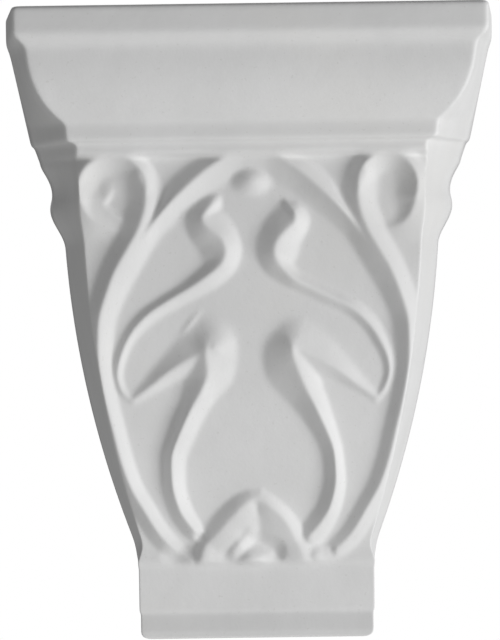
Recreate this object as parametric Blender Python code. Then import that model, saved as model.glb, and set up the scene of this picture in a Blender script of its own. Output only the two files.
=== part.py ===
"""A cast plaster corbel with a moulded cornice, splayed sides and a front of carved scrolls and leaves.

The wall is the plane y = 0 and the front faces -Y. z = 0 lies half way up the back.
Sizes are in millimetres. A drop is a distance down from the top face.
"""

import math

import bmesh
import bpy
import numpy as np

MM = 0.001

# Whole corbel
HEIGHT = 230.0
WIDTH_AT_WALL = 180.0
PROJECTION = 100.0

# Cornice: each part goes down by its height and in by its inset, on the front and on both ends
FASCIA_WIDTH_IN_FRONT = 170.4
FASCIA_HEIGHT = 10.6
SOFFIT_HEIGHT = 3.6
SOFFIT_INSET = 4.2
OVOLO_HEIGHT = 27.0
OVOLO_INSET = 13.0
OVOLO_SWEEP = math.radians(60.0)
OVOLO_STEPS = 9
UPPER_STEP_HEIGHT = 6.8
UPPER_STEP_INSET = 0.5
UPPER_STEP_LEAN = 0.6
LOWER_STEP_HEIGHT = 5.0
LOWER_STEP_INSET = 3.3
LOWER_STEP_LEAN = 0.3
LEDGE_FALL = 0.3
LEDGE_AT_WALL = 0.3
UPPER_STEP_WIDTH_AT_WALL = 162.4
LOWER_STEP_WALL_INSET = 1.1

# Body: its flanks and its front bow back to the foot by the same curve
BODY_WIDTH_AT_WALL = 140.2
BODY_FOOT_WIDTH = 83.0
BODY_PROJECTION = 72.0
BODY_FOOT_PROJECTION = 24.0
BOW_POWER = 2.15
SIDE_SPLAY = 0.115
NECK_FLARE = 8.0
NECK_SHARE = 0.10
ROLL_BULGE = 4.7
ROLL_CENTRE_SHARE = 0.12
ROLL_REACH_SHARE = 0.095
ROLL_SHARE_IN_FRONT = 0.2

# Block under the body, which the body runs into with a hollow curve, and the flared band at its foot
BLOCK_WIDTH = 86.4
BLOCK_PROJECTION = 27.6
BLOCK_HEIGHT = 16.4
BLOCK_LEAN = 3.8
BLOCK_STEPS = 3
HOLLOW_SHARE = 0.09
BAND_HEIGHT = 9.8
BAND_INSET = 0.5
BAND_CORNER = 2.8
BAND_FLARE = 1.6
BAND_STEPS = 5

# Carved field: the carving is drawn on a field of this half width and height and stretched to the body
FIELD_HALF_WIDTH = 61.7
FIELD_HEIGHT = 150.0

# Factor on every height of the carving
CARVING_DEPTH = 1.2

# Flank shapes: powers of the distance and of the rest of the height
TENT = (1.08, 1.0)
KEEL = (1.2, 1.0)
ROUND = (1.5, 1.25)
HOLLOW = (1.0, 1.9)
FALLING = (1.0, 1.3)
BLEND = 0.5
SPAN_STEPS = 6

# Scroll at each upper corner: the rim of a bowl, drawn as part of an ellipse
SCROLL_CENTRE = (49.4, 11.0)
SCROLL_RADII = (11.2, 11.4)
SCROLL_START = math.radians(-22.0)
SCROLL_END = math.radians(190.0)
SCROLL_STEPS = 28
SCROLL_HEIGHT = 3.7
SCROLL_BOWL_WIDTH = 10.8
SCROLL_RIM_WIDTH = 5.0

# Crests of the ribs: across, down, height, and the widths of the flanks to the left and to the
# right of someone who walks along the crest on the right half of the front
SCROLL_TIP = (
    (60.8, 11.5, 3.7, 6.5, 10.0),
    (60.3, 15.2, 3.5, 12.5, 9.8),
    (58.8, 19.1, 2.9, 13.0, 9.0),
    (56.4, 22.6, 2.2, 13.0, 8.1),
    (52.9, 25.1, 1.5, 12.0, 7.5),
    (48.7, 26.1, 0.8, 9.5, 6.0),
)
OUTER_STEM = (
    (40.8, 6.0, 3.5, 5.0, 6.2),
    (38.9, 10.6, 3.5, 6.0, 7.0),
    (38.2, 14.6, 3.6, 7.0, 7.2),
    (39.0, 20.0, 3.8, 7.3, 7.8),
    (41.3, 26.2, 4.0, 7.0, 8.6),
    (44.5, 31.9, 4.1, 6.2, 8.8),
    (49.6, 40.6, 4.0, 5.4, 8.9),
    (53.0, 49.2, 3.9, 5.3, 7.7),
    (55.6, 57.9, 3.7, 5.3, 6.9),
    (56.2, 66.5, 3.9, 5.4, 6.0),
    (55.9, 75.2, 3.5, 5.4, 5.2),
    (54.1, 86.8, 3.3, 5.2, 5.0),
    (51.3, 99.0, 3.3, 5.2, 5.0),
    (48.6, 110.3, 3.3, 5.2, 5.0),
    (45.2, 120.2, 3.3, 5.2, 4.9),
    (40.9, 128.0, 3.1, 5.2, 5.0),
    (35.6, 137.0, 2.8, 5.2, 5.0),
    (30.1, 143.0, 2.2, 4.8, 4.9),
    (24.0, 147.0, 1.3, 4.4, 4.5),
)
ARCH = (
    (0.0, -2.0, 3.2, 3.0, 12.0),
    (7.4, -0.6, 3.3, 3.6, 11.6),
    (14.2, 3.4, 3.5, 5.0, 11.0),
    (19.2, 7.2, 3.7, 6.0, 10.0),
    (25.2, 12.6, 3.8, 6.0, 9.4),
    (30.8, 18.0, 3.8, 3.8, 8.6),
    (35.2, 23.0, 3.5, 2.6, 7.4),
    (39.0, 28.5, 3.1, 2.6, 6.4),
    (43.0, 35.5, 2.3, 2.4, 5.2),
    (47.0, 43.0, 1.4, 2.4, 4.0),
)
TENDRIL = (
    (11.8, 15.3, 1.3, 2.3, 1.4),
    (13.7, 17.7, 2.7, 3.9, 2.9),
    (16.1, 20.5, 3.5, 4.8, 4.7),
    (16.6, 23.3, 3.9, 5.8, 7.9),
    (14.2, 26.2, 4.0, 7.8, 8.9),
    (10.6, 29.4, 4.0, 9.5, 7.4),
    (8.8, 33.3, 3.9, 9.8, 6.7),
    (9.4, 37.2, 3.6, 6.9, 6.6),
    (12.0, 40.8, 3.2, 4.9, 5.9),
    (16.0, 44.3, 3.1, 3.8, 5.0),
    (22.1, 47.9, 2.7, 3.2, 4.4),
    (29.3, 51.7, 2.6, 3.0, 4.1),
    (36.6, 55.9, 2.5, 3.1, 3.9),
    (42.1, 61.2, 2.3, 3.1, 3.5),
    (45.9, 66.9, 2.2, 2.9, 3.1),
    (48.4, 73.0, 2.0, 2.6, 2.8),
    (49.2, 78.9, 1.7, 2.3, 2.6),
    (47.4, 84.6, 1.4, 2.3, 2.5),
    (44.1, 88.3, 1.0, 2.3, 2.5),
)
LEAF = (
    (12.6, 64.2, 1.4, 2.8, 3.6),
    (14.6, 65.8, 3.0, 4.8, 7.4),
    (16.0, 68.0, 4.2, 6.6, 10.6),
    (16.2, 71.2, 4.5, 8.4, 12.6),
    (16.0, 75.4, 4.5, 9.4, 12.4),
    (16.8, 79.6, 4.5, 8.6, 10.2),
    (19.0, 84.9, 4.5, 6.7, 7.8),
    (22.2, 90.6, 4.3, 5.1, 6.6),
    (25.3, 97.0, 4.1, 3.8, 6.1),
    (28.0, 103.7, 3.8, 3.1, 5.8),
    (29.7, 110.8, 3.7, 3.2, 5.2),
    (29.8, 118.2, 3.7, 3.8, 5.2),
    (28.3, 125.2, 3.7, 4.2, 5.2),
    (25.0, 132.0, 3.5, 4.9, 5.4),
    (20.0, 138.5, 2.9, 4.8, 4.6),
)
BRANCH = (
    (14.6, 69.0, 4.1, 14.0, 8.8),
    (20.4, 71.6, 3.6, 12.0, 10.0),
    (26.4, 74.8, 3.3, 9.0, 7.6),
    (31.8, 78.4, 2.9, 6.6, 5.2),
    (37.2, 82.6, 2.2, 4.8, 3.6),
    (43.8, 87.6, 1.3, 3.4, 2.6),
)
FOLIAGE_RIDGE = (
    (0.0, 124.6, 2.5, 4.8, 5.0),
    (2.8, 125.8, 2.9, 5.2, 7.0),
    (5.6, 128.0, 3.3, 5.6, 12.0),
    (8.6, 131.0, 3.4, 5.6, 16.4),
    (11.4, 134.2, 3.4, 5.6, 18.4),
    (13.6, 137.6, 3.3, 5.6, 18.0),
    (15.8, 140.8, 3.1, 5.8, 16.0),
    (17.8, 143.8, 2.6, 6.0, 13.0),
    (19.2, 148.2, 1.8, 6.0, 10.0),
)

# Soft domes of the carving: across, down, half width, half height and height
KNOB = (0.0, 9.2, 8.0, 7.0, 2.4)
FOLIAGE_DOMES = (
    (0.0, 148.0, 16.0, 14.0, 2.6),
    (0.0, 146.8, 7.0, 5.0, 3.3),
    (22.0, 145.8, 8.0, 6.6, 2.2),
)
FOLIAGE_FADE = 2.4

# Mesh: cells of the carved front before the flat places are thinned out
BODY_ROWS = 168
FRONT_COLUMNS = 144
SIDE_COLUMNS = 8
TRIANGLES_KEPT = 9400

PLASTER_COLOUR = (0.80, 0.80, 0.79, 1.0)
PLASTER_ROUGHNESS = 0.75


def clear_scene():
    """Remove every object of the open file."""
    for obj in list(bpy.data.objects):
        bpy.data.objects.remove(obj, do_unlink=True)


def smooth_step(share):
    """Ease from 0 to 1 as share goes from 0 to 1."""
    share = np.clip(share, 0.0, 1.0)
    return share * share * (3.0 - 2.0 * share)


def smooth_curve(points, span_steps):
    """Points of a smooth curve through rows of numbers, with span_steps to each span."""
    rows = np.array(points, dtype=float)
    rows = np.vstack((2.0 * rows[0] - rows[1], rows, 2.0 * rows[-1] - rows[-2]))
    curve = []
    for before, start, end, after in zip(rows, rows[1:], rows[2:], rows[3:]):
        for t in np.linspace(0.0, 1.0, span_steps, endpoint=False):
            bend = 2.0 * before - 5.0 * start + 4.0 * end - after
            twist = 3.0 * start - before - 3.0 * end + after
            curve.append(0.5 * (2.0 * start + (end - before) * t + bend * t ** 2 + twist * t ** 3))
    curve.append(rows[-2])
    return np.array(curve)


def blend_up(first, second):
    """The higher of two heights, with the valley between them eased."""
    overlap = np.maximum(BLEND - np.abs(first - second), 0.0)
    return np.maximum(first, second) + overlap ** 2 / (4.0 * BLEND)


def flank(distance, shape):
    """Share of the crest's height at a distance given as a share of the flank's width."""
    spread, power = shape
    return np.maximum(1.0 - distance ** spread, 0.0) ** power


def rib(across, down, crest, left_shape=ROUND, right_shape=ROUND):
    """Height of a rib over the field, for a crest of across, down, height and two flank widths."""
    height = np.zeros_like(across)
    for start, end in zip(crest[:-1], crest[1:]):
        step_across, step_down = end[:2] - start[:2]
        along = (across - start[0]) * step_across + (down - start[1]) * step_down
        along = np.clip(along / (step_across ** 2 + step_down ** 2), 0.0, 1.0)
        off_across = across - start[0] - along * step_across
        off_down = down - start[1] - along * step_down
        distance = np.hypot(off_across, off_down)
        top, left_width, right_width = (start[2:, None, None] + along * (end - start)[2:, None, None])
        on_right = step_across * off_down > step_down * off_across
        share = np.where(on_right, flank(distance / right_width, right_shape),
                         flank(distance / left_width, left_shape))
        height = np.maximum(height, top * share)
    return height


def dome(across, down, size):
    """Height of a soft boss over the field."""
    centre_across, centre_down, half_width, half_height, top = size
    distance = np.hypot((across - centre_across) / half_width, (down - centre_down) / half_height)
    return top * smooth_step(1.0 - distance)


def scroll():
    """Crest of the scroll's rim from its free end over the top."""
    crest = []
    for angle in np.linspace(SCROLL_START, SCROLL_END, SCROLL_STEPS):
        crest.append((SCROLL_CENTRE[0] + SCROLL_RADII[0] * math.cos(angle),
                      SCROLL_CENTRE[1] - SCROLL_RADII[1] * math.sin(angle),
                      SCROLL_HEIGHT, SCROLL_BOWL_WIDTH, SCROLL_RIM_WIDTH))
    return np.array(crest)


def carving(across, down):
    """Height of the whole carving over the field."""
    relief = rib(across, down, scroll(), left_shape=HOLLOW)
    for crest, left_shape, right_shape in ((SCROLL_TIP, FALLING, HOLLOW), (ARCH, KEEL, FALLING),
                                           (OUTER_STEM, TENT, KEEL), (TENDRIL, KEEL, KEEL),
                                           (LEAF, KEEL, TENT), (BRANCH, FALLING, ROUND),
                                           (FOLIAGE_RIDGE, KEEL, ROUND)):
        curve = smooth_curve(crest, SPAN_STEPS)
        relief = blend_up(relief, rib(across, down, curve, left_shape, right_shape))
    for size in (KNOB,) + FOLIAGE_DOMES:
        relief = blend_up(relief, dome(across, down, size))
    return CARVING_DEPTH * relief * smooth_step((FIELD_HEIGHT - down) / FOLIAGE_FADE)


def cornice_profile():
    """Drop and inset of each edge of the cornice, from the top down."""
    profile = [(0.0, 0.0), (FASCIA_HEIGHT, 0.0)]
    drop = FASCIA_HEIGHT + SOFFIT_HEIGHT
    inset = SOFFIT_INSET
    for angle in np.linspace(0.0, OVOLO_SWEEP, OVOLO_STEPS + 1):
        profile.append((drop + OVOLO_HEIGHT * math.sin(angle) / math.sin(OVOLO_SWEEP),
                        inset + OVOLO_INSET * (1.0 - math.cos(angle)) / (1.0 - math.cos(OVOLO_SWEEP))))
    drop += OVOLO_HEIGHT
    inset += OVOLO_INSET
    for height, step_inset, lean in ((UPPER_STEP_HEIGHT, UPPER_STEP_INSET, UPPER_STEP_LEAN),
                                     (LOWER_STEP_HEIGHT, LOWER_STEP_INSET, LOWER_STEP_LEAN)):
        drop += LEDGE_FALL
        inset += step_inset
        profile.append((drop, inset))
        drop += height
        inset += lean
        profile.append((drop, inset))
    return profile


def cornice_rows():
    """Drop, projection, half width in front and half width at the wall of each cornice edge."""
    profile = cornice_profile()
    taper_top = FASCIA_HEIGHT + SOFFIT_HEIGHT
    taper_foot = profile[-3][0]
    wall_top = WIDTH_AT_WALL / 2.0 - SOFFIT_INSET / 3.0
    wall_foot = UPPER_STEP_WIDTH_AT_WALL / 2.0
    rows = []
    for drop, inset in profile:
        wall = wall_top + (wall_foot - wall_top) * (drop - taper_top) / (taper_foot - taper_top)
        if drop <= FASCIA_HEIGHT:
            wall = WIDTH_AT_WALL / 2.0
        rows.append([drop, PROJECTION - inset, FASCIA_WIDTH_IN_FRONT / 2.0 - inset, wall])
    rows[-2][3] = wall_foot - LOWER_STEP_WALL_INSET
    rows[-1][3] = BODY_WIDTH_AT_WALL / 2.0 + NECK_FLARE + LEDGE_AT_WALL
    return rows


def body_rows(top_drop, foot_drop):
    """The same four sizes down the carved body."""
    share = np.linspace(0.0, 1.0, BODY_ROWS)
    bow = share ** BOW_POWER
    flank_half = (BODY_WIDTH_AT_WALL - (BODY_WIDTH_AT_WALL - BODY_FOOT_WIDTH) * bow) / 2.0
    neck = NECK_FLARE * (1.0 - smooth_step(share / NECK_SHARE))
    turn = np.clip((share - ROLL_CENTRE_SHARE) / ROLL_REACH_SHARE, -1.0, 1.0)
    roll = ROLL_BULGE * (1.0 + np.cos(math.pi * turn)) / 2.0
    hollow = smooth_step((share - 1.0 + HOLLOW_SHARE) / HOLLOW_SHARE) ** 2
    flank_half += (BLOCK_WIDTH - BODY_FOOT_WIDTH) / 2.0 * hollow
    projection = BODY_PROJECTION - (BODY_PROJECTION - BODY_FOOT_PROJECTION) * bow
    projection += (BLOCK_PROJECTION - BODY_FOOT_PROJECTION) * hollow
    splay = SIDE_SPLAY * projection * (1.0 - hollow)
    front = flank_half + ROLL_SHARE_IN_FRONT * (neck + roll) - splay
    drop = top_drop + (foot_drop - top_drop) * share
    return list(zip(drop, projection, front, flank_half + neck + roll))


def block_rows(top_drop):
    """The same four sizes down the block and its band."""
    half = BLOCK_WIDTH / 2.0
    rows = []
    for share in np.linspace(0.0, 1.0, BLOCK_STEPS + 1)[1:]:
        rows.append((top_drop + BLOCK_HEIGHT * share, BLOCK_PROJECTION - BLOCK_LEAN * share, half, half))
    band_drop = HEIGHT - BAND_HEIGHT
    half -= BAND_INSET
    projection = BLOCK_PROJECTION - BLOCK_LEAN - BAND_INSET
    rows.append((band_drop + LEDGE_FALL, projection, half, half))
    projection += BAND_FLARE
    for share in np.linspace(0.0, 1.0, BAND_STEPS + 1):
        rounding = BAND_CORNER * (1.0 - math.sqrt(1.0 - share ** 2))
        rows.append((HEIGHT - BAND_CORNER * (1.0 - share), projection, half - rounding, half - rounding))
    return rows


def surface_grid():
    """Points of the front and both sides, one row to each drop, from the left wall to the right."""
    upper = cornice_rows()
    body_top = upper[-1][0] + LEDGE_FALL
    body_foot = HEIGHT - BAND_HEIGHT - BLOCK_HEIGHT
    lower = block_rows(body_foot)
    rows = np.array(upper + body_rows(body_top, body_foot) + lower)
    drop, projection, front, wall = rows.T[:, :, None]

    side = np.linspace(0.0, 1.0, SIDE_COLUMNS, endpoint=False)
    across_front = np.linspace(-1.0, 1.0, FRONT_COLUMNS + 1) * front
    field_across = np.abs(across_front) * FIELD_HALF_WIDTH
    field_across /= BODY_WIDTH_AT_WALL / 2.0 - SIDE_SPLAY * BODY_PROJECTION
    field_down = np.broadcast_to((drop - body_top) / (body_foot - body_top) * FIELD_HEIGHT,
                                 across_front.shape)
    relief = carving(field_across, field_down)
    relief[:len(upper)] = 0.0
    relief[-len(lower):] = 0.0

    face_out = projection + relief
    left = wall + (front - wall) * side
    left_out = face_out[:, :1] * side
    right = left[:, ::-1]
    right_out = face_out[:, -1:] * side[::-1]
    x = np.hstack((-left, across_front, right))
    y = -np.hstack((left_out, face_out, right_out))
    z = np.broadcast_to(HEIGHT / 2.0 - drop, x.shape)
    return np.stack((x, y, z), axis=-1) * MM


def corbel_mesh():
    """The whole corbel as one closed mesh: the grid, a flat back and flat ends."""
    grid = surface_grid()
    row_count, column_count = grid.shape[:2]
    mesh = bmesh.new()
    verts = [[mesh.verts.new(point) for point in row] for row in grid]
    for upper, lower in zip(verts[:-1], verts[1:]):
        for column in range(column_count - 1):
            mesh.faces.new((upper[column], lower[column], lower[column + 1], upper[column + 1]))
        mesh.faces.new((upper[-1], lower[-1], lower[0], upper[0]))
    mesh.faces.new(verts[0])
    mesh.faces.new(verts[row_count - 1][::-1])
    bmesh.ops.triangulate(mesh, faces=mesh.faces[:])
    data = bpy.data.meshes.new("corbel")
    mesh.to_mesh(data)
    mesh.free()
    return data


def plaster():
    """Matt off-white cast plaster."""
    material = bpy.data.materials.new("plaster")
    material.use_nodes = True
    shader = material.node_tree.nodes["Principled BSDF"]
    shader.inputs["Base Color"].default_value = PLASTER_COLOUR
    shader.inputs["Roughness"].default_value = PLASTER_ROUGHNESS
    shader.inputs["Metallic"].default_value = 0.0
    return material


def thin_out(obj):
    """Leave small facets only where the surface bends."""
    thinning = obj.modifiers.new("thinning", "DECIMATE")
    thinning.decimate_type = "COLLAPSE"
    thinning.ratio = TRIANGLES_KEPT / len(obj.data.polygons)
    thinning.use_collapse_triangulate = True


def make_corbel():
    """Build the corbel and put it in the scene."""
    corbel = bpy.data.objects.new("corbel", corbel_mesh())
    corbel.data.materials.append(plaster())
    bpy.context.collection.objects.link(corbel)
    thin_out(corbel)
    return corbel


clear_scene()
make_corbel()
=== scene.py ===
"""Looks of the cast plaster corbel: the solid's own forms on a finer mesh, soft as a casting, in plaster.

Sizes of the object are in millimetres. A drop is a distance down from the top face. The places, distances
and sizes of camera, lights and floor are in metres.
"""

import math

import bpy
import numpy as np
from mathutils import Matrix, Vector


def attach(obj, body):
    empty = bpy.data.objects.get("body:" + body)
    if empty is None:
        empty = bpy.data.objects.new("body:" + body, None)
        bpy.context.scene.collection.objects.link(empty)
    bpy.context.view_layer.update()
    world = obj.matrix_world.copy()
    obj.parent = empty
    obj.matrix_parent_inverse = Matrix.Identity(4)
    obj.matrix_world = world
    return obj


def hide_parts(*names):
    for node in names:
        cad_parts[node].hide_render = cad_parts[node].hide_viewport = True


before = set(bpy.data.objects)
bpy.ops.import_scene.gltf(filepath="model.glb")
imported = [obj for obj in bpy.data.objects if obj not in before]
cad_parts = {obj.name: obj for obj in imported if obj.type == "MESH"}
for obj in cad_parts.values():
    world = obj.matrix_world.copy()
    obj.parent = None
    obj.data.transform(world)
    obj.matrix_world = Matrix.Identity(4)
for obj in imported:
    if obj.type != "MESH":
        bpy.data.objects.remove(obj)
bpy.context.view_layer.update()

MM = 0.001

# Whole corbel
HEIGHT = 230.0
WIDTH_AT_WALL = 180.0
PROJECTION = 100.0

# Cornice: each part goes down by its height and in by its inset, on the front and on both ends
FASCIA_WIDTH_IN_FRONT = 170.4
FASCIA_HEIGHT = 10.6
SOFFIT_HEIGHT = 3.6
SOFFIT_INSET = 4.2
SOFFIT_INSET_AT_WALL = SOFFIT_INSET / 3.0
OVOLO_HEIGHT = 27.0
OVOLO_INSET = 13.0
OVOLO_SWEEP = math.radians(60.0)
UPPER_STEP_HEIGHT = 6.8
UPPER_STEP_INSET = 0.5
UPPER_STEP_LEAN = 0.6
LOWER_STEP_HEIGHT = 5.0
LOWER_STEP_INSET = 3.3
LOWER_STEP_LEAN = 0.3
LEDGE_FALL = 0.3
LEDGE_AT_WALL = 0.3
UPPER_STEP_WIDTH_AT_WALL = 162.4
LOWER_STEP_WALL_INSET = 1.1

# Body: its flanks and its front bow back to the foot by the same curve
BODY_WIDTH_AT_WALL = 140.2
BODY_FOOT_WIDTH = 83.0
BODY_PROJECTION = 72.0
BODY_FOOT_PROJECTION = 24.0
BOW_POWER = 2.15
SIDE_SPLAY = 0.115
NECK_FLARE = 8.0
NECK_SHARE = 0.10
ROLL_BULGE = 4.7
ROLL_CENTRE_SHARE = 0.12
ROLL_REACH_SHARE = 0.095
ROLL_SHARE_IN_FRONT = 0.2

# Block under the body, which the body runs into with a hollow curve, and the flared band at its foot
BLOCK_WIDTH = 86.4
BLOCK_PROJECTION = 27.6
BLOCK_HEIGHT = 16.4
BLOCK_LEAN = 3.8
HOLLOW_SHARE = 0.09
BAND_HEIGHT = 9.8
BAND_INSET = 0.5
BAND_CORNER = 2.8
BAND_FLARE = 1.6

# Carved field: the carving is drawn on a field of this half width and height and stretched to the body,
# and CARVING_DEPTH is a factor on all its heights
FIELD_HALF_WIDTH = 61.7
FIELD_HEIGHT = 150.0
CARVING_DEPTH = 1.2

# Flank shapes: powers of the distance and of the rest of the height. Forms whose heights differ by less
# than BLEND are eased together, and TINY keeps a division safe on the crest itself
TENT = (1.08, 1.0)
KEEL = (1.2, 1.0)
ROUND = (1.5, 1.25)
HOLLOW = (1.0, 1.9)
FALLING = (1.0, 1.3)
BLEND = 0.5
SPAN_STEPS = 6
TINY = 1e-6

# Scroll at each upper corner: the rim of a bowl, drawn as part of an ellipse of centre across, centre
# down, half width and half height
SCROLL_ON_THE_RIGHT = (48.9, 11.0, 10.6, 11.4)
SCROLL_ON_THE_LEFT = (50.2, 11.0, 12.2, 11.4)
SCROLL_START = math.radians(-22.0)
SCROLL_END = math.radians(190.0)
SCROLL_STEPS = 50
SCROLL_HEIGHT = 3.7
SCROLL_BOWL_WIDTH = 10.8
SCROLL_RIM_WIDTH = 5.0

# Crests of the ribs: across, down, height, and the widths of the flanks to the left and to the
# right of someone who walks along the crest on the right half of the front. Those on the left are
# mirrored. SCROLL_LIP and FOLIAGE_FOLD lie on top of the other ribs of the left half, and FOLIAGE_GROOVE is
# cut into those of both
SCROLL_TIP_ON_THE_RIGHT = (
    (59.3, 11.5, 3.7, 6.5, 9.0),
    (58.9, 15.0, 3.5, 13.0, 8.6),
    (57.8, 18.8, 2.9, 14.0, 8.0),
    (56.2, 22.4, 2.2, 14.0, 7.2),
    (53.2, 25.2, 1.5, 13.0, 7.0),
    (48.8, 26.4, 0.8, 10.0, 6.0),
)
SCROLL_TIP_ON_THE_LEFT = (
    (62.3, 11.5, 3.7, 6.5, 11.0),
    (61.6, 15.4, 3.5, 12.0, 11.0),
    (59.8, 19.4, 2.9, 12.0, 10.0),
    (56.6, 22.8, 2.2, 12.0, 9.0),
    (52.6, 25.0, 1.5, 11.0, 8.0),
    (48.6, 25.8, 0.8, 9.0, 6.0),
)
SCROLL_LIP = (
    (49.9, 10.7, 0.2, 4.0, 1.6),
    (51.7, 13.9, 0.9, 5.0, 1.6),
    (53.6, 17.1, 0.9, 5.0, 2.0),
    (51.3, 19.8, 0.9, 6.0, 2.2),
    (48.0, 22.0, 0.8, 7.0, 2.0),
)
OUTER_STEM = (
    (40.8, 6.0, 3.5, 5.0, 6.2),
    (38.9, 10.6, 3.5, 6.0, 7.0),
    (38.2, 14.6, 3.6, 7.0, 7.2),
    (39.0, 20.0, 3.8, 7.3, 7.8),
    (41.3, 26.2, 4.0, 7.0, 8.6),
    (44.5, 31.9, 4.1, 6.2, 8.8),
    (49.6, 40.6, 4.0, 5.4, 8.9),
    (53.0, 49.2, 3.9, 5.3, 7.7),
    (55.6, 57.9, 3.7, 5.3, 6.9),
    (56.2, 66.5, 3.9, 5.4, 6.0),
    (55.9, 75.2, 3.5, 5.4, 5.2),
    (54.1, 86.8, 3.3, 5.2, 5.0),
    (51.3, 99.0, 3.3, 5.2, 5.0),
    (48.6, 110.3, 3.3, 5.2, 5.0),
    (45.2, 120.2, 3.3, 5.2, 4.9),
    (40.9, 128.0, 3.1, 5.2, 5.0),
    (35.6, 137.0, 2.8, 5.2, 5.0),
    (30.1, 143.0, 2.2, 4.8, 4.9),
    (24.0, 147.0, 1.3, 4.4, 4.5),
)
ARCH = (
    (0.0, -2.0, 3.2, 3.0, 12.0),
    (7.4, -0.6, 3.3, 3.6, 11.6),
    (14.2, 3.4, 3.5, 5.0, 11.0),
    (19.2, 7.2, 3.7, 6.0, 10.0),
    (25.2, 12.6, 3.8, 6.0, 9.4),
    (30.8, 18.0, 3.8, 3.8, 8.6),
    (35.2, 23.0, 3.5, 2.6, 7.4),
    (39.0, 28.5, 3.1, 2.6, 6.4),
    (43.0, 35.5, 2.3, 2.4, 5.2),
    (47.0, 43.0, 1.4, 2.4, 4.0),
)
TENDRIL_ON_THE_RIGHT = (
    (11.9, 16.5, 1.2, 1.1, 2.0),
    (13.4, 18.2, 2.5, 1.9, 3.4),
    (15.3, 20.6, 3.5, 3.8, 5.2),
    (15.2, 23.9, 3.9, 5.6, 8.2),
    (12.5, 26.6, 4.0, 7.2, 9.0),
    (9.6, 29.6, 4.0, 8.8, 7.9),
    (7.9, 33.2, 3.9, 9.6, 7.2),
    (8.2, 36.8, 3.6, 6.8, 7.0),
    (10.6, 40.7, 3.2, 4.9, 5.8),
    (14.6, 44.6, 3.1, 3.8, 4.2),
    (20.6, 47.8, 2.7, 3.5, 3.7),
    (28.0, 51.5, 2.5, 3.5, 3.6),
    (35.8, 55.5, 2.5, 3.7, 3.5),
    (41.8, 61.3, 2.3, 3.8, 3.1),
    (45.6, 67.2, 2.2, 3.6, 3.0),
    (48.2, 73.0, 2.0, 3.0, 2.7),
    (48.9, 78.8, 1.7, 2.4, 2.5),
    (47.0, 84.6, 1.4, 2.4, 2.5),
    (43.8, 88.6, 1.0, 2.4, 2.5),
)
TENDRIL_ON_THE_LEFT = (
    (12.4, 15.0, 1.3, 2.4, 1.8),
    (14.4, 17.4, 2.8, 4.4, 3.8),
    (16.8, 20.2, 3.5, 5.2, 5.4),
    (18.0, 22.7, 3.9, 6.0, 7.6),
    (15.8, 25.8, 4.0, 8.4, 8.8),
    (11.6, 29.2, 4.0, 10.2, 6.8),
    (9.7, 33.4, 3.9, 10.0, 6.2),
    (10.6, 37.6, 3.6, 7.0, 6.2),
    (13.4, 40.9, 3.2, 4.9, 6.0),
    (17.4, 43.9, 3.1, 3.8, 5.8),
    (23.6, 47.9, 2.7, 2.9, 5.0),
    (30.6, 51.9, 2.6, 2.5, 4.6),
    (37.3, 56.2, 2.5, 2.5, 4.2),
    (42.4, 61.0, 2.3, 2.3, 3.8),
    (46.1, 66.6, 2.1, 2.1, 3.1),
    (48.6, 73.0, 2.0, 2.1, 2.8),
    (49.5, 79.0, 1.7, 2.1, 2.6),
    (47.8, 84.6, 1.4, 2.2, 2.4),
    (44.4, 88.0, 1.0, 2.2, 2.4),
)
LEAF_ON_THE_RIGHT = (
    (11.0, 65.0, 1.6, 2.6, 2.6),
    (12.6, 66.6, 3.2, 4.6, 6.0),
    (13.8, 69.0, 4.4, 6.4, 9.6),
    (14.1, 72.4, 4.6, 8.0, 12.2),
    (15.2, 75.8, 4.6, 8.6, 12.8),
    (16.8, 80.0, 4.6, 7.8, 11.2),
    (19.3, 85.6, 4.5, 6.2, 8.7),
    (22.6, 92.0, 4.7, 4.9, 6.9),
    (25.7, 98.9, 4.1, 3.9, 5.8),
    (28.4, 106.0, 3.8, 3.1, 5.2),
    (29.2, 113.6, 3.7, 3.4, 4.5),
    (29.0, 120.4, 3.7, 4.0, 4.9),
    (26.9, 128.4, 3.7, 4.4, 5.4),
    (23.3, 134.3, 3.4, 5.4, 5.9),
    (19.4, 138.8, 3.1, 6.0, 5.5),
)
LEAF_ON_THE_LEFT = (
    (13.4, 65.4, 1.6, 4.0, 7.0),
    (15.7, 66.8, 3.2, 6.0, 10.4),
    (17.1, 69.2, 4.2, 7.8, 12.2),
    (17.4, 72.4, 4.5, 9.4, 12.6),
    (16.8, 76.8, 4.5, 10.0, 10.8),
    (17.2, 80.4, 4.4, 9.0, 8.4),
    (19.0, 84.6, 4.5, 7.0, 6.6),
    (21.8, 89.4, 4.0, 5.3, 6.4),
    (25.0, 95.3, 4.2, 3.7, 6.3),
    (27.8, 101.4, 3.9, 3.1, 6.3),
    (30.2, 108.0, 3.7, 3.0, 6.0),
    (30.4, 115.7, 3.7, 3.5, 5.5),
    (29.6, 122.4, 3.7, 3.9, 5.1),
    (26.9, 130.0, 3.4, 4.7, 5.0),
    (22.6, 136.0, 3.1, 4.7, 4.2),
    (20.4, 138.2, 2.4, 3.3, 3.4),
)
BRANCH = (
    (14.6, 69.0, 4.1, 14.0, 8.8),
    (20.4, 71.6, 3.6, 12.0, 10.0),
    (26.4, 74.8, 3.3, 9.0, 7.6),
    (31.8, 78.4, 2.9, 6.6, 5.2),
    (37.2, 82.6, 2.2, 4.8, 3.6),
    (43.8, 87.6, 1.3, 3.4, 2.6),
)
FOLIAGE_GROOVE = (
    (-4.6, 137.4, 0.2, 3.0, 3.6),
    (-1.4, 140.0, 1.0, 3.6, 5.0),
    (3.6, 141.6, 1.2, 4.0, 5.2),
    (7.2, 143.4, 1.3, 4.0, 5.2),
    (6.4, 146.8, 0.9, 4.0, 5.0),
    (5.0, 149.4, 0.5, 4.0, 4.0),
)
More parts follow.
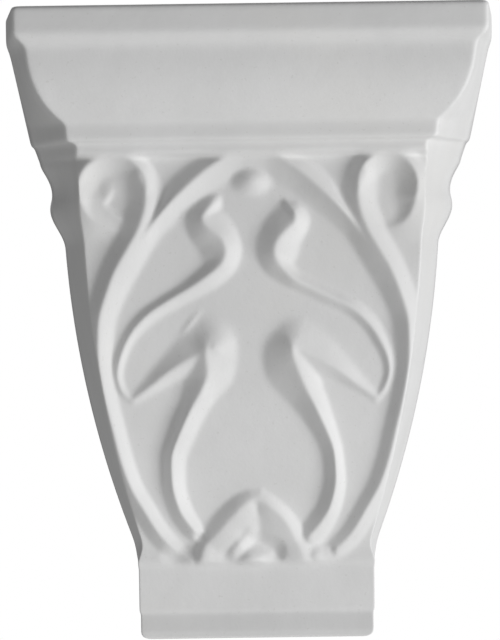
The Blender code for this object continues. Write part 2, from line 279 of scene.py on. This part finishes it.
FOLIAGE_FOLD = (
    (10.0, 145.4, 0.2, 3.0, 1.8),
    (7.5, 143.2, 1.0, 3.6, 2.2),
    (3.4, 138.8, 0.8, 3.6, 2.2),
    (1.6, 135.6, 0.0, 3.0, 1.8),
)
VEIN_ON_THE_LEFT = (
    (17.4, 53.4, 0.0, 1.6, 1.6),
    (21.0, 57.8, 0.8, 1.8, 1.8),
    (24.6, 62.4, 0.9, 1.8, 1.8),
    (27.8, 66.8, 0.0, 1.6, 1.6),
)
FOLIAGE_ON_THE_RIGHT = (
    (-1.4, 124.6, 2.4, 4.4, 5.0),
    (2.4, 125.6, 2.8, 4.8, 7.0),
    (5.6, 127.8, 3.1, 4.8, 12.0),
    (9.2, 131.1, 3.2, 4.6, 16.0),
    (11.6, 134.4, 3.2, 4.8, 18.0),
    (13.2, 137.6, 3.2, 5.6, 17.0),
    (14.6, 140.8, 3.1, 6.6, 14.0),
    (16.4, 144.0, 2.9, 7.6, 11.0),
    (18.0, 148.6, 2.0, 8.0, 8.0),
)
FOLIAGE_ON_THE_LEFT = (
    (-1.0, 124.4, 2.4, 4.6, 5.0),
    (2.4, 125.6, 3.0, 5.2, 7.0),
    (5.2, 127.8, 3.4, 6.0, 12.0),
    (7.8, 130.6, 3.6, 6.4, 17.0),
    (10.6, 133.6, 3.6, 6.4, 19.0),
    (13.2, 136.6, 3.5, 6.0, 19.0),
    (16.2, 139.7, 3.1, 5.0, 18.0),
    (19.2, 142.8, 2.6, 4.2, 15.0),
    (20.6, 147.4, 1.8, 4.0, 12.0),
)

# Soft domes of the carving, and smaller bumps and dents on top of it: across, down, half width,
# half height and height. The carving fades out over FOLIAGE_FADE at the foot of the field
KNOB = (-0.4, 9.0, 10.6, 8.0, 2.8)
FOLIAGE_DOMES = (
    (0.4, 148.0, 16.0, 14.0, 2.6),
    (21.6, 145.8, 9.0, 6.6, 2.2),
)
FOLIAGE_DETAILS = (
    (-3.0, 146.4, 7.0, 5.0, 0.9),
    (-19.0, 145.4, 5.0, 5.4, 0.9),
    (-11.4, 146.2, 3.8, 4.4, -0.5),
    (-20.5, 138.2, 3.0, 2.2, -1.6),
    (27.4, 144.4, 2.2, 2.6, -0.7),
    (-28.6, 145.4, 7.6, 5.4, -1.3),
)
FOLIAGE_FADE = 2.4

# Fine mesh: spacing and number of its rows and columns, the insets of the rings on its flat top and foot,
# and how often its arrises are softened
OVOLO_STEPS = 24
CORNICE_SPACING = 0.8
CAP_RINGS = (6.0, 3.2, 1.8, 0.9)
BODY_ROWS = 264
BLOCK_STEPS = 24
BAND_STEPS = 9
BAND_CORNER_STEPS = 7
FRONT_COLUMNS = 220
SIDE_COLUMNS = 15
SOFTENING_PASSES = 2
CORNICE_SOFTENING_PASSES = 3
BODY_ROWS_SOFTENED_WITH_CORNICE = 2

# Plaster. Noise: cycles a metre and detail. Span: the range of a value and the range that it is eased to.
# Bump: strength and depth in metres
SPECULAR_LEVEL = 0.25
MOTTLE_NOISE = (34.0, 5.0)
MOTTLE_RANGE = (0.3, 0.7)
MOTTLE_COLOURS = ((0.772, 0.773, 0.772, 1.0), (0.815, 0.816, 0.817, 1.0))
WARM_NOISE = (13.0, 3.0)
WARM_SPAN = (0.5, 0.72, 0.0, 0.6)
WARM_COLOUR = (0.802, 0.798, 0.786, 1.0)
SPECK_NOISE = (700.0, 1.0)
SPECK_SPAN = (0.70, 0.76, 0.0, 0.35)
SPECK_COLOUR = (0.66, 0.655, 0.64, 1.0)
# Painted shade: the base colour is darkened in the hollow places of the carving, found by the surface's
# curvature
PAINTED_HOLLOW_SHADE_SPAN = (0.49, 0.44, 0.0, 0.35)
PAINTED_HOLLOW_SHADE_COLOUR = (0.70, 0.698, 0.688, 1.0)
# Painted highlight: the base colour is made paler on the arrises, found by the surface's curvature; the
# same mask makes the arrises smoother, as worn plaster is
ARRIS_HIGHLIGHT_AND_WEAR_SPAN = (0.51, 0.56, 0.0, 0.7)
PAINTED_ARRIS_HIGHLIGHT_COLOUR = (0.850, 0.851, 0.850, 1.0)
ROUGHNESS_NOISE = (60.0, 4.0)
ROUGHNESS_SPAN = (0.3, 0.7, 0.76, 0.90)
ROUGHNESS_CHANGE_ON_ARRISES = -0.15
LUMP_NOISE = (120.0, 3.0)
LUMP_BUMP = (0.35, 0.0005)
BRUSH_STRETCH = (0.10, 1.0, 1.0)
BRUSH_NOISE = (260.0, 3.0)
BRUSH_BUMP = (0.30, 0.0002)
GRAIN_NOISE = (900.0, 2.0)
GRAIN_BUMP = (0.35, 0.0001)

# Camera. PIXEL_AT_FASCIA and SENSOR_HEIGHT are in millimetres, and CENTRE_SHIFT is in pixels: how far the
# middle of the corbel lies to the right of and below the centre of the picture
CAMERA_DISTANCE = 2.56
CAMERA_AZIMUTH = math.radians(-0.28)
CAMERA_ELEVATION = math.radians(0.27)
CAMERA_ROLL = math.radians(-0.8)
PIXELS_HIGH = 640.0
PIXEL_AT_FASCIA = 0.35609
CENTRE_SHIFT = (2.9, 4.2)
SENSOR_HEIGHT = 24.0

# Lights, sky and floor. Powers are in watts. PAPER_STRENGTH is how bright the camera sees the empty sky
KEY_AZIMUTH = math.radians(60.0)
KEY_ELEVATION = math.radians(-12.0)
KEY_DISTANCE = 2.2
KEY_SIZE = 1.0
KEY_POWER = 36.4
LOW_FILL_PLACE = (-0.3, -0.65, -0.5)
LOW_FILL_SIZE = 0.3
LOW_FILL_POWER = 0.8
BACK_FILL_PLACE = (0.4, 2.0, 1.2)
BACK_FILL_SIZE = 1.2
BACK_FILL_POWER = 24.0
SKY_STRENGTH = 0.191
PAPER_STRENGTH = 1.0
WHITE = (1.0, 1.0, 1.0, 1.0)
FLOOR_LEVEL = -1.8
FLOOR_SIZE = 14.0
FLOOR_COLOUR = (0.82, 0.82, 0.81, 1.0)
FLOOR_ROUGHNESS = 0.9


def smooth_step(share):
    """Ease from 0 to 1 as share goes from 0 to 1."""
    share = np.clip(share, 0.0, 1.0)
    return share * share * (3.0 - 2.0 * share)


def smooth_curve(points, span_steps):
    """Points of a smooth curve through rows of numbers, with span_steps to each span."""
    rows = np.array(points, dtype=float)
    rows = np.vstack((2.0 * rows[0] - rows[1], rows, 2.0 * rows[-1] - rows[-2]))
    curve = []
    for before, start, end, after in zip(rows, rows[1:], rows[2:], rows[3:]):
        for t in np.linspace(0.0, 1.0, span_steps, endpoint=False):
            bend = 2.0 * before - 5.0 * start + 4.0 * end - after
            twist = 3.0 * start - before - 3.0 * end + after
            curve.append(0.5 * (2.0 * start + (end - before) * t + bend * t ** 2 + twist * t ** 3))
    curve.append(rows[-2])
    return np.array(curve)


def blend_up(first, second):
    """The higher of two heights, with the valley between them eased."""
    overlap = np.maximum(BLEND - np.abs(first - second), 0.0)
    return np.maximum(first, second) + overlap ** 2 / (4.0 * BLEND)


def flank(distance, shape):
    """Share of the crest's height at a distance given as a share of the flank's width."""
    spread, power = shape
    return np.maximum(1.0 - distance ** spread, 0.0) ** power


def rib(across, down, crest, left_shape=ROUND, right_shape=ROUND):
    """Height of a rib over the field, for a crest of across, down, height and two flank widths."""
    height = np.zeros_like(across)
    for start, end in zip(crest[:-1], crest[1:]):
        step_across, step_down = end[:2] - start[:2]
        along = (across - start[0]) * step_across + (down - start[1]) * step_down
        along = np.clip(along / (step_across ** 2 + step_down ** 2), 0.0, 1.0)
        off_across = across - start[0] - along * step_across
        off_down = down - start[1] - along * step_down
        distance = np.hypot(off_across, off_down)
        top, left_width, right_width = (start[2:, None, None] + along * (end - start)[2:, None, None])
        turn = (step_across * off_down - step_down * off_across) / np.hypot(step_across, step_down)
        right = 0.5 + 0.5 * turn / np.maximum(distance, TINY)
        share = right * flank(distance / right_width, right_shape)
        share += (1.0 - right) * flank(distance / left_width, left_shape)
        height = np.maximum(height, top * share)
    return height


def curved_rib(across, down, crest, left_shape=ROUND, right_shape=ROUND):
    """Height of a rib whose crest runs smoothly through its rows."""
    return rib(across, down, smooth_curve(crest, SPAN_STEPS), left_shape, right_shape)


def dome(across, down, size):
    """Height of a soft boss over the field."""
    centre_across, centre_down, half_width, half_height, top = size
    distance = np.hypot((across - centre_across) / half_width, (down - centre_down) / half_height)
    return top * smooth_step(1.0 - distance)


def scroll(size):
    """Crest of the scroll's rim from its free end over the top."""
    centre_across, centre_down, half_width, half_height = size
    crest = []
    for angle in np.linspace(SCROLL_START, SCROLL_END, SCROLL_STEPS):
        crest.append((centre_across + half_width * math.cos(angle),
                      centre_down - half_height * math.sin(angle),
                      SCROLL_HEIGHT, SCROLL_BOWL_WIDTH, SCROLL_RIM_WIDTH))
    return np.array(crest)


def ribs_of_one_side(across, down, scroll_size, scroll_tip, tendril, leaf, foliage):
    """Height of the ribs of one half of the front, for across measured towards that half."""
    relief = rib(across, down, scroll(scroll_size), left_shape=HOLLOW)
    for crest, left_shape, right_shape in ((scroll_tip, FALLING, HOLLOW), (ARCH, KEEL, FALLING),
                                           (OUTER_STEM, TENT, KEEL), (tendril, KEEL, KEEL),
                                           (leaf, KEEL, TENT), (BRANCH, FALLING, ROUND),
                                           (foliage, KEEL, ROUND)):
        relief = blend_up(relief, curved_rib(across, down, crest, left_shape, right_shape))
    return relief


def carving(across, down):
    """Height of the whole carving over the field, for across measured from the middle to the right."""
    relief = ribs_of_one_side(across, down, SCROLL_ON_THE_RIGHT, SCROLL_TIP_ON_THE_RIGHT,
                              TENDRIL_ON_THE_RIGHT, LEAF_ON_THE_RIGHT, FOLIAGE_ON_THE_RIGHT)
    left = ribs_of_one_side(-across, down, SCROLL_ON_THE_LEFT, SCROLL_TIP_ON_THE_LEFT,
                            TENDRIL_ON_THE_LEFT, LEAF_ON_THE_LEFT, FOLIAGE_ON_THE_LEFT)
    relief = blend_up(relief, left)
    relief = blend_up(relief, curved_rib(-across, down, VEIN_ON_THE_LEFT))
    relief += curved_rib(-across, down, SCROLL_LIP)
    relief += curved_rib(-across, down, FOLIAGE_FOLD)
    for size in (KNOB,) + FOLIAGE_DOMES:
        relief = blend_up(relief, dome(across, down, size))
    relief -= curved_rib(across, down, FOLIAGE_GROOVE)
    for size in FOLIAGE_DETAILS:
        relief += dome(across, down, size)
    return CARVING_DEPTH * relief * smooth_step((FIELD_HEIGHT - down) / FOLIAGE_FADE)


def cornice_profile():
    """Drop and inset of each edge of the cornice, from the top down."""
    profile = [(0.0, 0.0), (FASCIA_HEIGHT, 0.0)]
    drop = FASCIA_HEIGHT + SOFFIT_HEIGHT
    inset = SOFFIT_INSET
    for angle in np.linspace(0.0, OVOLO_SWEEP, OVOLO_STEPS + 1):
        profile.append((drop + OVOLO_HEIGHT * math.sin(angle) / math.sin(OVOLO_SWEEP),
                        inset + OVOLO_INSET * (1.0 - math.cos(angle)) / (1.0 - math.cos(OVOLO_SWEEP))))
    drop += OVOLO_HEIGHT
    inset += OVOLO_INSET
    for height, step_inset, lean in ((UPPER_STEP_HEIGHT, UPPER_STEP_INSET, UPPER_STEP_LEAN),
                                     (LOWER_STEP_HEIGHT, LOWER_STEP_INSET, LOWER_STEP_LEAN)):
        drop += LEDGE_FALL
        inset += step_inset
        profile.append((drop, inset))
        drop += height
        inset += lean
        profile.append((drop, inset))
    return profile


def cornice_rows():
    """Drop, projection, half width in front and half width at the wall of each cornice edge."""
    profile = cornice_profile()
    taper_top = FASCIA_HEIGHT + SOFFIT_HEIGHT
    taper_foot = profile[-3][0]
    wall_top = WIDTH_AT_WALL / 2.0 - SOFFIT_INSET_AT_WALL
    wall_foot = UPPER_STEP_WIDTH_AT_WALL / 2.0
    rows = []
    for drop, inset in profile:
        wall = wall_top + (wall_foot - wall_top) * (drop - taper_top) / (taper_foot - taper_top)
        if drop <= FASCIA_HEIGHT:
            wall = WIDTH_AT_WALL / 2.0
        rows.append([drop, PROJECTION - inset, FASCIA_WIDTH_IN_FRONT / 2.0 - inset, wall])
    rows[-2][3] = wall_foot - LOWER_STEP_WALL_INSET
    rows[-1][3] = BODY_WIDTH_AT_WALL / 2.0 + NECK_FLARE + LEDGE_AT_WALL
    return rows


def body_rows(top_drop, foot_drop):
    """The same four sizes down the carved body."""
    share = np.linspace(0.0, 1.0, BODY_ROWS)
    bow = share ** BOW_POWER
    flank_half = (BODY_WIDTH_AT_WALL - (BODY_WIDTH_AT_WALL - BODY_FOOT_WIDTH) * bow) / 2.0
    neck = NECK_FLARE * (1.0 - smooth_step(share / NECK_SHARE))
    turn = np.clip((share - ROLL_CENTRE_SHARE) / ROLL_REACH_SHARE, -1.0, 1.0)
    roll = ROLL_BULGE * (1.0 + np.cos(math.pi * turn)) / 2.0
    hollow = smooth_step((share - 1.0 + HOLLOW_SHARE) / HOLLOW_SHARE) ** 2
    flank_half += (BLOCK_WIDTH - BODY_FOOT_WIDTH) / 2.0 * hollow
    projection = BODY_PROJECTION - (BODY_PROJECTION - BODY_FOOT_PROJECTION) * bow
    projection += (BLOCK_PROJECTION - BODY_FOOT_PROJECTION) * hollow
    splay = SIDE_SPLAY * projection * (1.0 - hollow)
    front = flank_half + ROLL_SHARE_IN_FRONT * (neck + roll) - splay
    drop = top_drop + (foot_drop - top_drop) * share
    return list(zip(drop, projection, front, flank_half + neck + roll))


def block_rows(top_drop):
    """The same four sizes down the block and its band."""
    half = BLOCK_WIDTH / 2.0
    rows = []
    for share in np.linspace(0.0, 1.0, BLOCK_STEPS + 1)[1:]:
        rows.append((top_drop + BLOCK_HEIGHT * share, BLOCK_PROJECTION - BLOCK_LEAN * share, half, half))
    band_drop = HEIGHT - BAND_HEIGHT
    half -= BAND_INSET
    projection = BLOCK_PROJECTION - BLOCK_LEAN - BAND_INSET
    for share in np.linspace(0.0, 1.0, BAND_STEPS + 1):
        rows.append((band_drop + LEDGE_FALL + (BAND_HEIGHT - BAND_CORNER - LEDGE_FALL) * share,
                     projection + BAND_FLARE * share, half, half))
    projection += BAND_FLARE
    for share in np.linspace(0.0, 1.0, BAND_CORNER_STEPS + 1)[1:]:
        rounding = BAND_CORNER * (1.0 - math.sqrt(1.0 - share ** 2))
        rows.append((HEIGHT - BAND_CORNER * (1.0 - share), projection, half - rounding, half - rounding))
    return rows


def resampled(rows, spacing):
    """The rows again, no further apart than the spacing, measured down and in together."""
    rows = np.array(rows)
    fine = [rows[0]]
    for start, end in zip(rows[:-1], rows[1:]):
        steps = max(int(np.hypot(*(end - start)[:2]) / spacing), 1)
        for step in range(1, steps + 1):
            fine.append(start + (end - start) * step / steps)
    return np.array(fine)


def softened(grid, passes):
    """The grid with its arrises rounded, as a casting's are. Its border stays in place."""
    for _ in range(passes):
        inner = grid.copy()
        inner[1:-1] = (grid[:-2] + 2.0 * grid[1:-1] + grid[2:]) / 4.0
        grid = inner.copy()
        grid[:, 1:-1] = (inner[:, :-2] + 2.0 * inner[:, 1:-1] + inner[:, 2:]) / 4.0
    return grid


def cap_rows(row):
    """Rows that draw a flat cap in from the row at its edge, the innermost first."""
    drop, projection, front, wall = row
    return np.array([(drop, projection - inset, front - inset, wall - inset) for inset in CAP_RINGS])


def surface_grid():
    """Points of the front and both sides, one row to each drop, from the left wall to the right."""
    upper = resampled(cornice_rows(), CORNICE_SPACING)
    upper = np.vstack((cap_rows(upper[0]), upper))
    body_top = upper[-1][0] + LEDGE_FALL
    body_foot = HEIGHT - BAND_HEIGHT - BLOCK_HEIGHT
    lower = np.array(block_rows(body_foot))
    lower = np.vstack((lower, cap_rows(lower[-1])[::-1]))
    rows = np.vstack((upper, body_rows(body_top, body_foot), lower))
    drop, projection, front, wall = rows.T[:, :, None]

    across_front = np.linspace(-1.0, 1.0, FRONT_COLUMNS + 1) * front
    field_across = across_front * FIELD_HALF_WIDTH
    field_across /= BODY_WIDTH_AT_WALL / 2.0 - SIDE_SPLAY * BODY_PROJECTION
    field_down = np.broadcast_to((drop - body_top) / (body_foot - body_top) * FIELD_HEIGHT,
                                 across_front.shape)
    relief = carving(field_across, field_down)
    relief[:len(upper)] = 0.0
    relief[-len(lower):] = 0.0

    side = 1.0 - (1.0 - np.linspace(0.0, 1.0, SIDE_COLUMNS, endpoint=False)) ** 2
    face_out = projection + relief
    left = wall + (front - wall) * side
    left_out = face_out[:, :1] * side
    right = left[:, ::-1]
    right_out = face_out[:, -1:] * side[::-1]
    x = np.hstack((-left, across_front, right))
    y = -np.hstack((left_out, face_out, right_out))
    z = np.broadcast_to(HEIGHT / 2.0 - drop, x.shape)
    grid = np.stack((x, y, z), axis=-1)
    reach = len(upper) + BODY_ROWS_SOFTENED_WITH_CORNICE
    grid[:reach] = softened(grid[:reach], CORNICE_SOFTENING_PASSES)
    return softened(grid, SOFTENING_PASSES)


def corbel_mesh():
    """The whole corbel as one closed mesh: the grid, a flat back and flat ends."""
    grid = surface_grid() * MM
    row_count, column_count = grid.shape[:2]
    index = np.arange(row_count * column_count).reshape(row_count, column_count)
    quads = np.stack((index[:-1, :-1], index[1:, :-1], index[1:, 1:], index[:-1, 1:]), axis=-1)
    faces = quads.reshape(-1, 4).tolist()
    smooth_faces = len(faces)
    for row in range(row_count - 1):
        upper, lower = index[row].tolist(), index[row + 1].tolist()
        faces.append((upper[-1], lower[-1], lower[0], upper[0]))
    faces.append(index[0].tolist())
    faces.append(index[-1][::-1].tolist())
    data = bpy.data.meshes.new("plaster_corbel")
    data.from_pydata(grid.reshape(-1, 3).tolist(), [], faces)
    for number, polygon in enumerate(data.polygons):
        polygon.use_smooth = number < smooth_faces
    data.update()
    return data


def add_object(name, data):
    """An object with the data, put in the scene."""
    obj = bpy.data.objects.new(name, data)
    bpy.context.collection.objects.link(obj)
    return obj


def new_material(name):
    """A material with nodes, and its shader."""
    material = bpy.data.materials.new(name)
    material.use_nodes = True
    return material, material.node_tree.nodes["Principled BSDF"]


def noise(tree, vector, size):
    """Noise over a vector, with its cycles a metre and its detail."""
    node = tree.nodes.new("ShaderNodeTexNoise")
    node.inputs["Scale"].default_value, node.inputs["Detail"].default_value = size
    tree.links.new(vector, node.inputs["Vector"])
    return node.outputs["Fac"]


def spread(tree, value, span):
    """A value eased from one range to another and held within it."""
    node = tree.nodes.new("ShaderNodeMapRange")
    node.interpolation_type = "SMOOTHSTEP"
    for name, limit in zip(("From Min", "From Max", "To Min", "To Max"), span):
        node.inputs[name].default_value = limit
    tree.links.new(value, node.inputs["Value"])
    return node.outputs["Result"]


def tinted(tree, share, below, colour):
    """The colour laid over the one below by a share."""
    node = tree.nodes.new("ShaderNodeMix")
    node.data_type = "RGBA"
    tree.links.new(share, node.inputs["Factor"])
    tree.links.new(below, node.inputs["A"])
    node.inputs["B"].default_value = colour
    return node.outputs["Result"]


def bumped(tree, height, size, below):
    """Normal with a bump of a given strength and depth on top of the one below, if any."""
    node = tree.nodes.new("ShaderNodeBump")
    node.inputs["Strength"].default_value, node.inputs["Distance"].default_value = size
    tree.links.new(height, node.inputs["Height"])
    if below:
        tree.links.new(below, node.inputs["Normal"])
    return node.outputs["Normal"]


def plaster():
    """Matt off-white plaster: mottled, with painted shade darkening it in hollow places, a painted
    highlight making the arrises paler, and the arrises smoother where worn.
    """
    material, shader = new_material("plaster")
    tree = material.node_tree
    nodes, links = tree.nodes, tree.links
    shader.inputs["Specular IOR Level"].default_value = SPECULAR_LEVEL
    place = nodes.new("ShaderNodeTexCoord").outputs["Object"]
    curvature = nodes.new("ShaderNodeNewGeometry").outputs["Pointiness"]

    mottle = nodes.new("ShaderNodeValToRGB")
    for element, position, colour in zip(mottle.color_ramp.elements, MOTTLE_RANGE, MOTTLE_COLOURS):
        element.position = position
        element.color = colour
    links.new(noise(tree, place, MOTTLE_NOISE), mottle.inputs["Fac"])
    warm_patches = spread(tree, noise(tree, place, WARM_NOISE), WARM_SPAN)
    colour = tinted(tree, warm_patches, mottle.outputs["Color"], WARM_COLOUR)
    specks = spread(tree, noise(tree, place, SPECK_NOISE), SPECK_SPAN)
    colour = tinted(tree, specks, colour, SPECK_COLOUR)
    # Painted shade: a darker colour laid into the hollow places by curvature
    painted_hollow_shade = spread(tree, curvature, PAINTED_HOLLOW_SHADE_SPAN)
    colour = tinted(tree, painted_hollow_shade, colour, PAINTED_HOLLOW_SHADE_COLOUR)
    # Painted highlight: a paler colour laid on the arrises by curvature; this mask also lowers the
    # roughness there for wear
    arrises = spread(tree, curvature, ARRIS_HIGHLIGHT_AND_WEAR_SPAN)
    colour = tinted(tree, arrises, colour, PAINTED_ARRIS_HIGHLIGHT_COLOUR)
    links.new(colour, shader.inputs["Base Color"])

    dull = spread(tree, noise(tree, place, ROUGHNESS_NOISE), ROUGHNESS_SPAN)
    rubbed = nodes.new("ShaderNodeMath")
    rubbed.operation = "MULTIPLY_ADD"
    rubbed.inputs[1].default_value = ROUGHNESS_CHANGE_ON_ARRISES
    links.new(arrises, rubbed.inputs[0])
    links.new(dull, rubbed.inputs[2])
    links.new(rubbed.outputs["Value"], shader.inputs["Roughness"])

    stretch = nodes.new("ShaderNodeMapping")
    stretch.inputs["Scale"].default_value = BRUSH_STRETCH
    links.new(place, stretch.inputs["Vector"])
    normal = bumped(tree, noise(tree, place, LUMP_NOISE), LUMP_BUMP, None)
    normal = bumped(tree, noise(tree, stretch.outputs["Vector"], BRUSH_NOISE), BRUSH_BUMP, normal)
    normal = bumped(tree, noise(tree, place, GRAIN_NOISE), GRAIN_BUMP, normal)
    links.new(normal, shader.inputs["Normal"])
    return material


def make_corbel():
    """The fine corbel in place of the plain solid."""
    corbel = add_object("plaster_corbel", corbel_mesh())
    corbel.data.materials.append(plaster())
    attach(corbel, "root")
    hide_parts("corbel")


def make_floor():
    """A plain pale floor, well below the corbel."""
    data = bpy.data.meshes.new("floor")
    half = FLOOR_SIZE / 2.0
    corners = [(-half, -half, FLOOR_LEVEL), (half, -half, FLOOR_LEVEL), (half, half, FLOOR_LEVEL),
               (-half, half, FLOOR_LEVEL)]
    data.from_pydata(corners, [], [(0, 1, 2, 3)])
    floor = add_object("floor", data)
    material, shader = new_material("pale_floor")
    shader.inputs["Base Color"].default_value = FLOOR_COLOUR
    shader.inputs["Roughness"].default_value = FLOOR_ROUGHNESS
    data.materials.append(material)


def direction(azimuth, elevation):
    """Unit vector from the corbel, for an azimuth to the right of straight in front and an elevation."""
    return Vector((math.sin(azimuth) * math.cos(elevation), -math.cos(azimuth) * math.cos(elevation),
                   math.sin(elevation)))


def area_light(name, place, size, power):
    """A square soft light that shines on the middle of the corbel."""
    data = bpy.data.lights.new(name, "AREA")
    data.shape = "SQUARE"
    data.size = size
    data.energy = power
    light = add_object(name, data)
    light.location = place
    light.rotation_euler = place.to_track_quat("Z", "Y").to_euler()
    light.visible_camera = False


def make_lights():
    """A soft key from the right and a little below, a fill from low in front and one from behind."""
    area_light("key", direction(KEY_AZIMUTH, KEY_ELEVATION) * KEY_DISTANCE, KEY_SIZE, KEY_POWER)
    area_light("low_fill", Vector(LOW_FILL_PLACE), LOW_FILL_SIZE, LOW_FILL_POWER)
    area_light("back_fill", Vector(BACK_FILL_PLACE), BACK_FILL_SIZE, BACK_FILL_POWER)


def make_sky():
    """A dim even sky for the light, and white paper where the camera sees past the corbel."""
    world = bpy.data.worlds.new("studio")
    bpy.context.scene.world = world
    world.use_nodes = True
    nodes, links = world.node_tree.nodes, world.node_tree.links
    sky = nodes["Background"]
    sky.inputs["Color"].default_value = WHITE
    sky.inputs["Strength"].default_value = SKY_STRENGTH
    paper = nodes.new("ShaderNodeBackground")
    paper.inputs["Color"].default_value = WHITE
    paper.inputs["Strength"].default_value = PAPER_STRENGTH
    seen = nodes.new("ShaderNodeLightPath")
    mix = nodes.new("ShaderNodeMixShader")
    links.new(seen.outputs["Is Camera Ray"], mix.inputs["Fac"])
    links.new(sky.outputs["Background"], mix.inputs[1])
    links.new(paper.outputs["Background"], mix.inputs[2])
    links.new(mix.outputs["Shader"], nodes["World Output"].inputs["Surface"])


def make_camera():
    """The photograph's view: straight on, level, and turned a little about its own axis."""
    data = bpy.data.cameras.new("camera")
    data.sensor_fit = "VERTICAL"
    data.sensor_height = SENSOR_HEIGHT
    view_height = PIXELS_HIGH * PIXEL_AT_FASCIA * MM
    data.lens = SENSOR_HEIGHT * (CAMERA_DISTANCE - PROJECTION * MM) / view_height
    data.shift_x = -CENTRE_SHIFT[0] / PIXELS_HIGH
    data.shift_y = CENTRE_SHIFT[1] / PIXELS_HIGH
    camera = add_object("camera", data)
    place = direction(CAMERA_AZIMUTH, CAMERA_ELEVATION) * CAMERA_DISTANCE
    camera.location = place
    turn = (-place).to_track_quat("-Z", "Y").to_matrix() @ Matrix.Rotation(CAMERA_ROLL, 3, "Z")
    camera.rotation_euler = turn.to_euler()
    bpy.context.scene.camera = camera


make_corbel()
make_floor()
make_lights()
make_sky()
make_camera()
bpy.context.scene.view_settings.view_transform = "Standard"
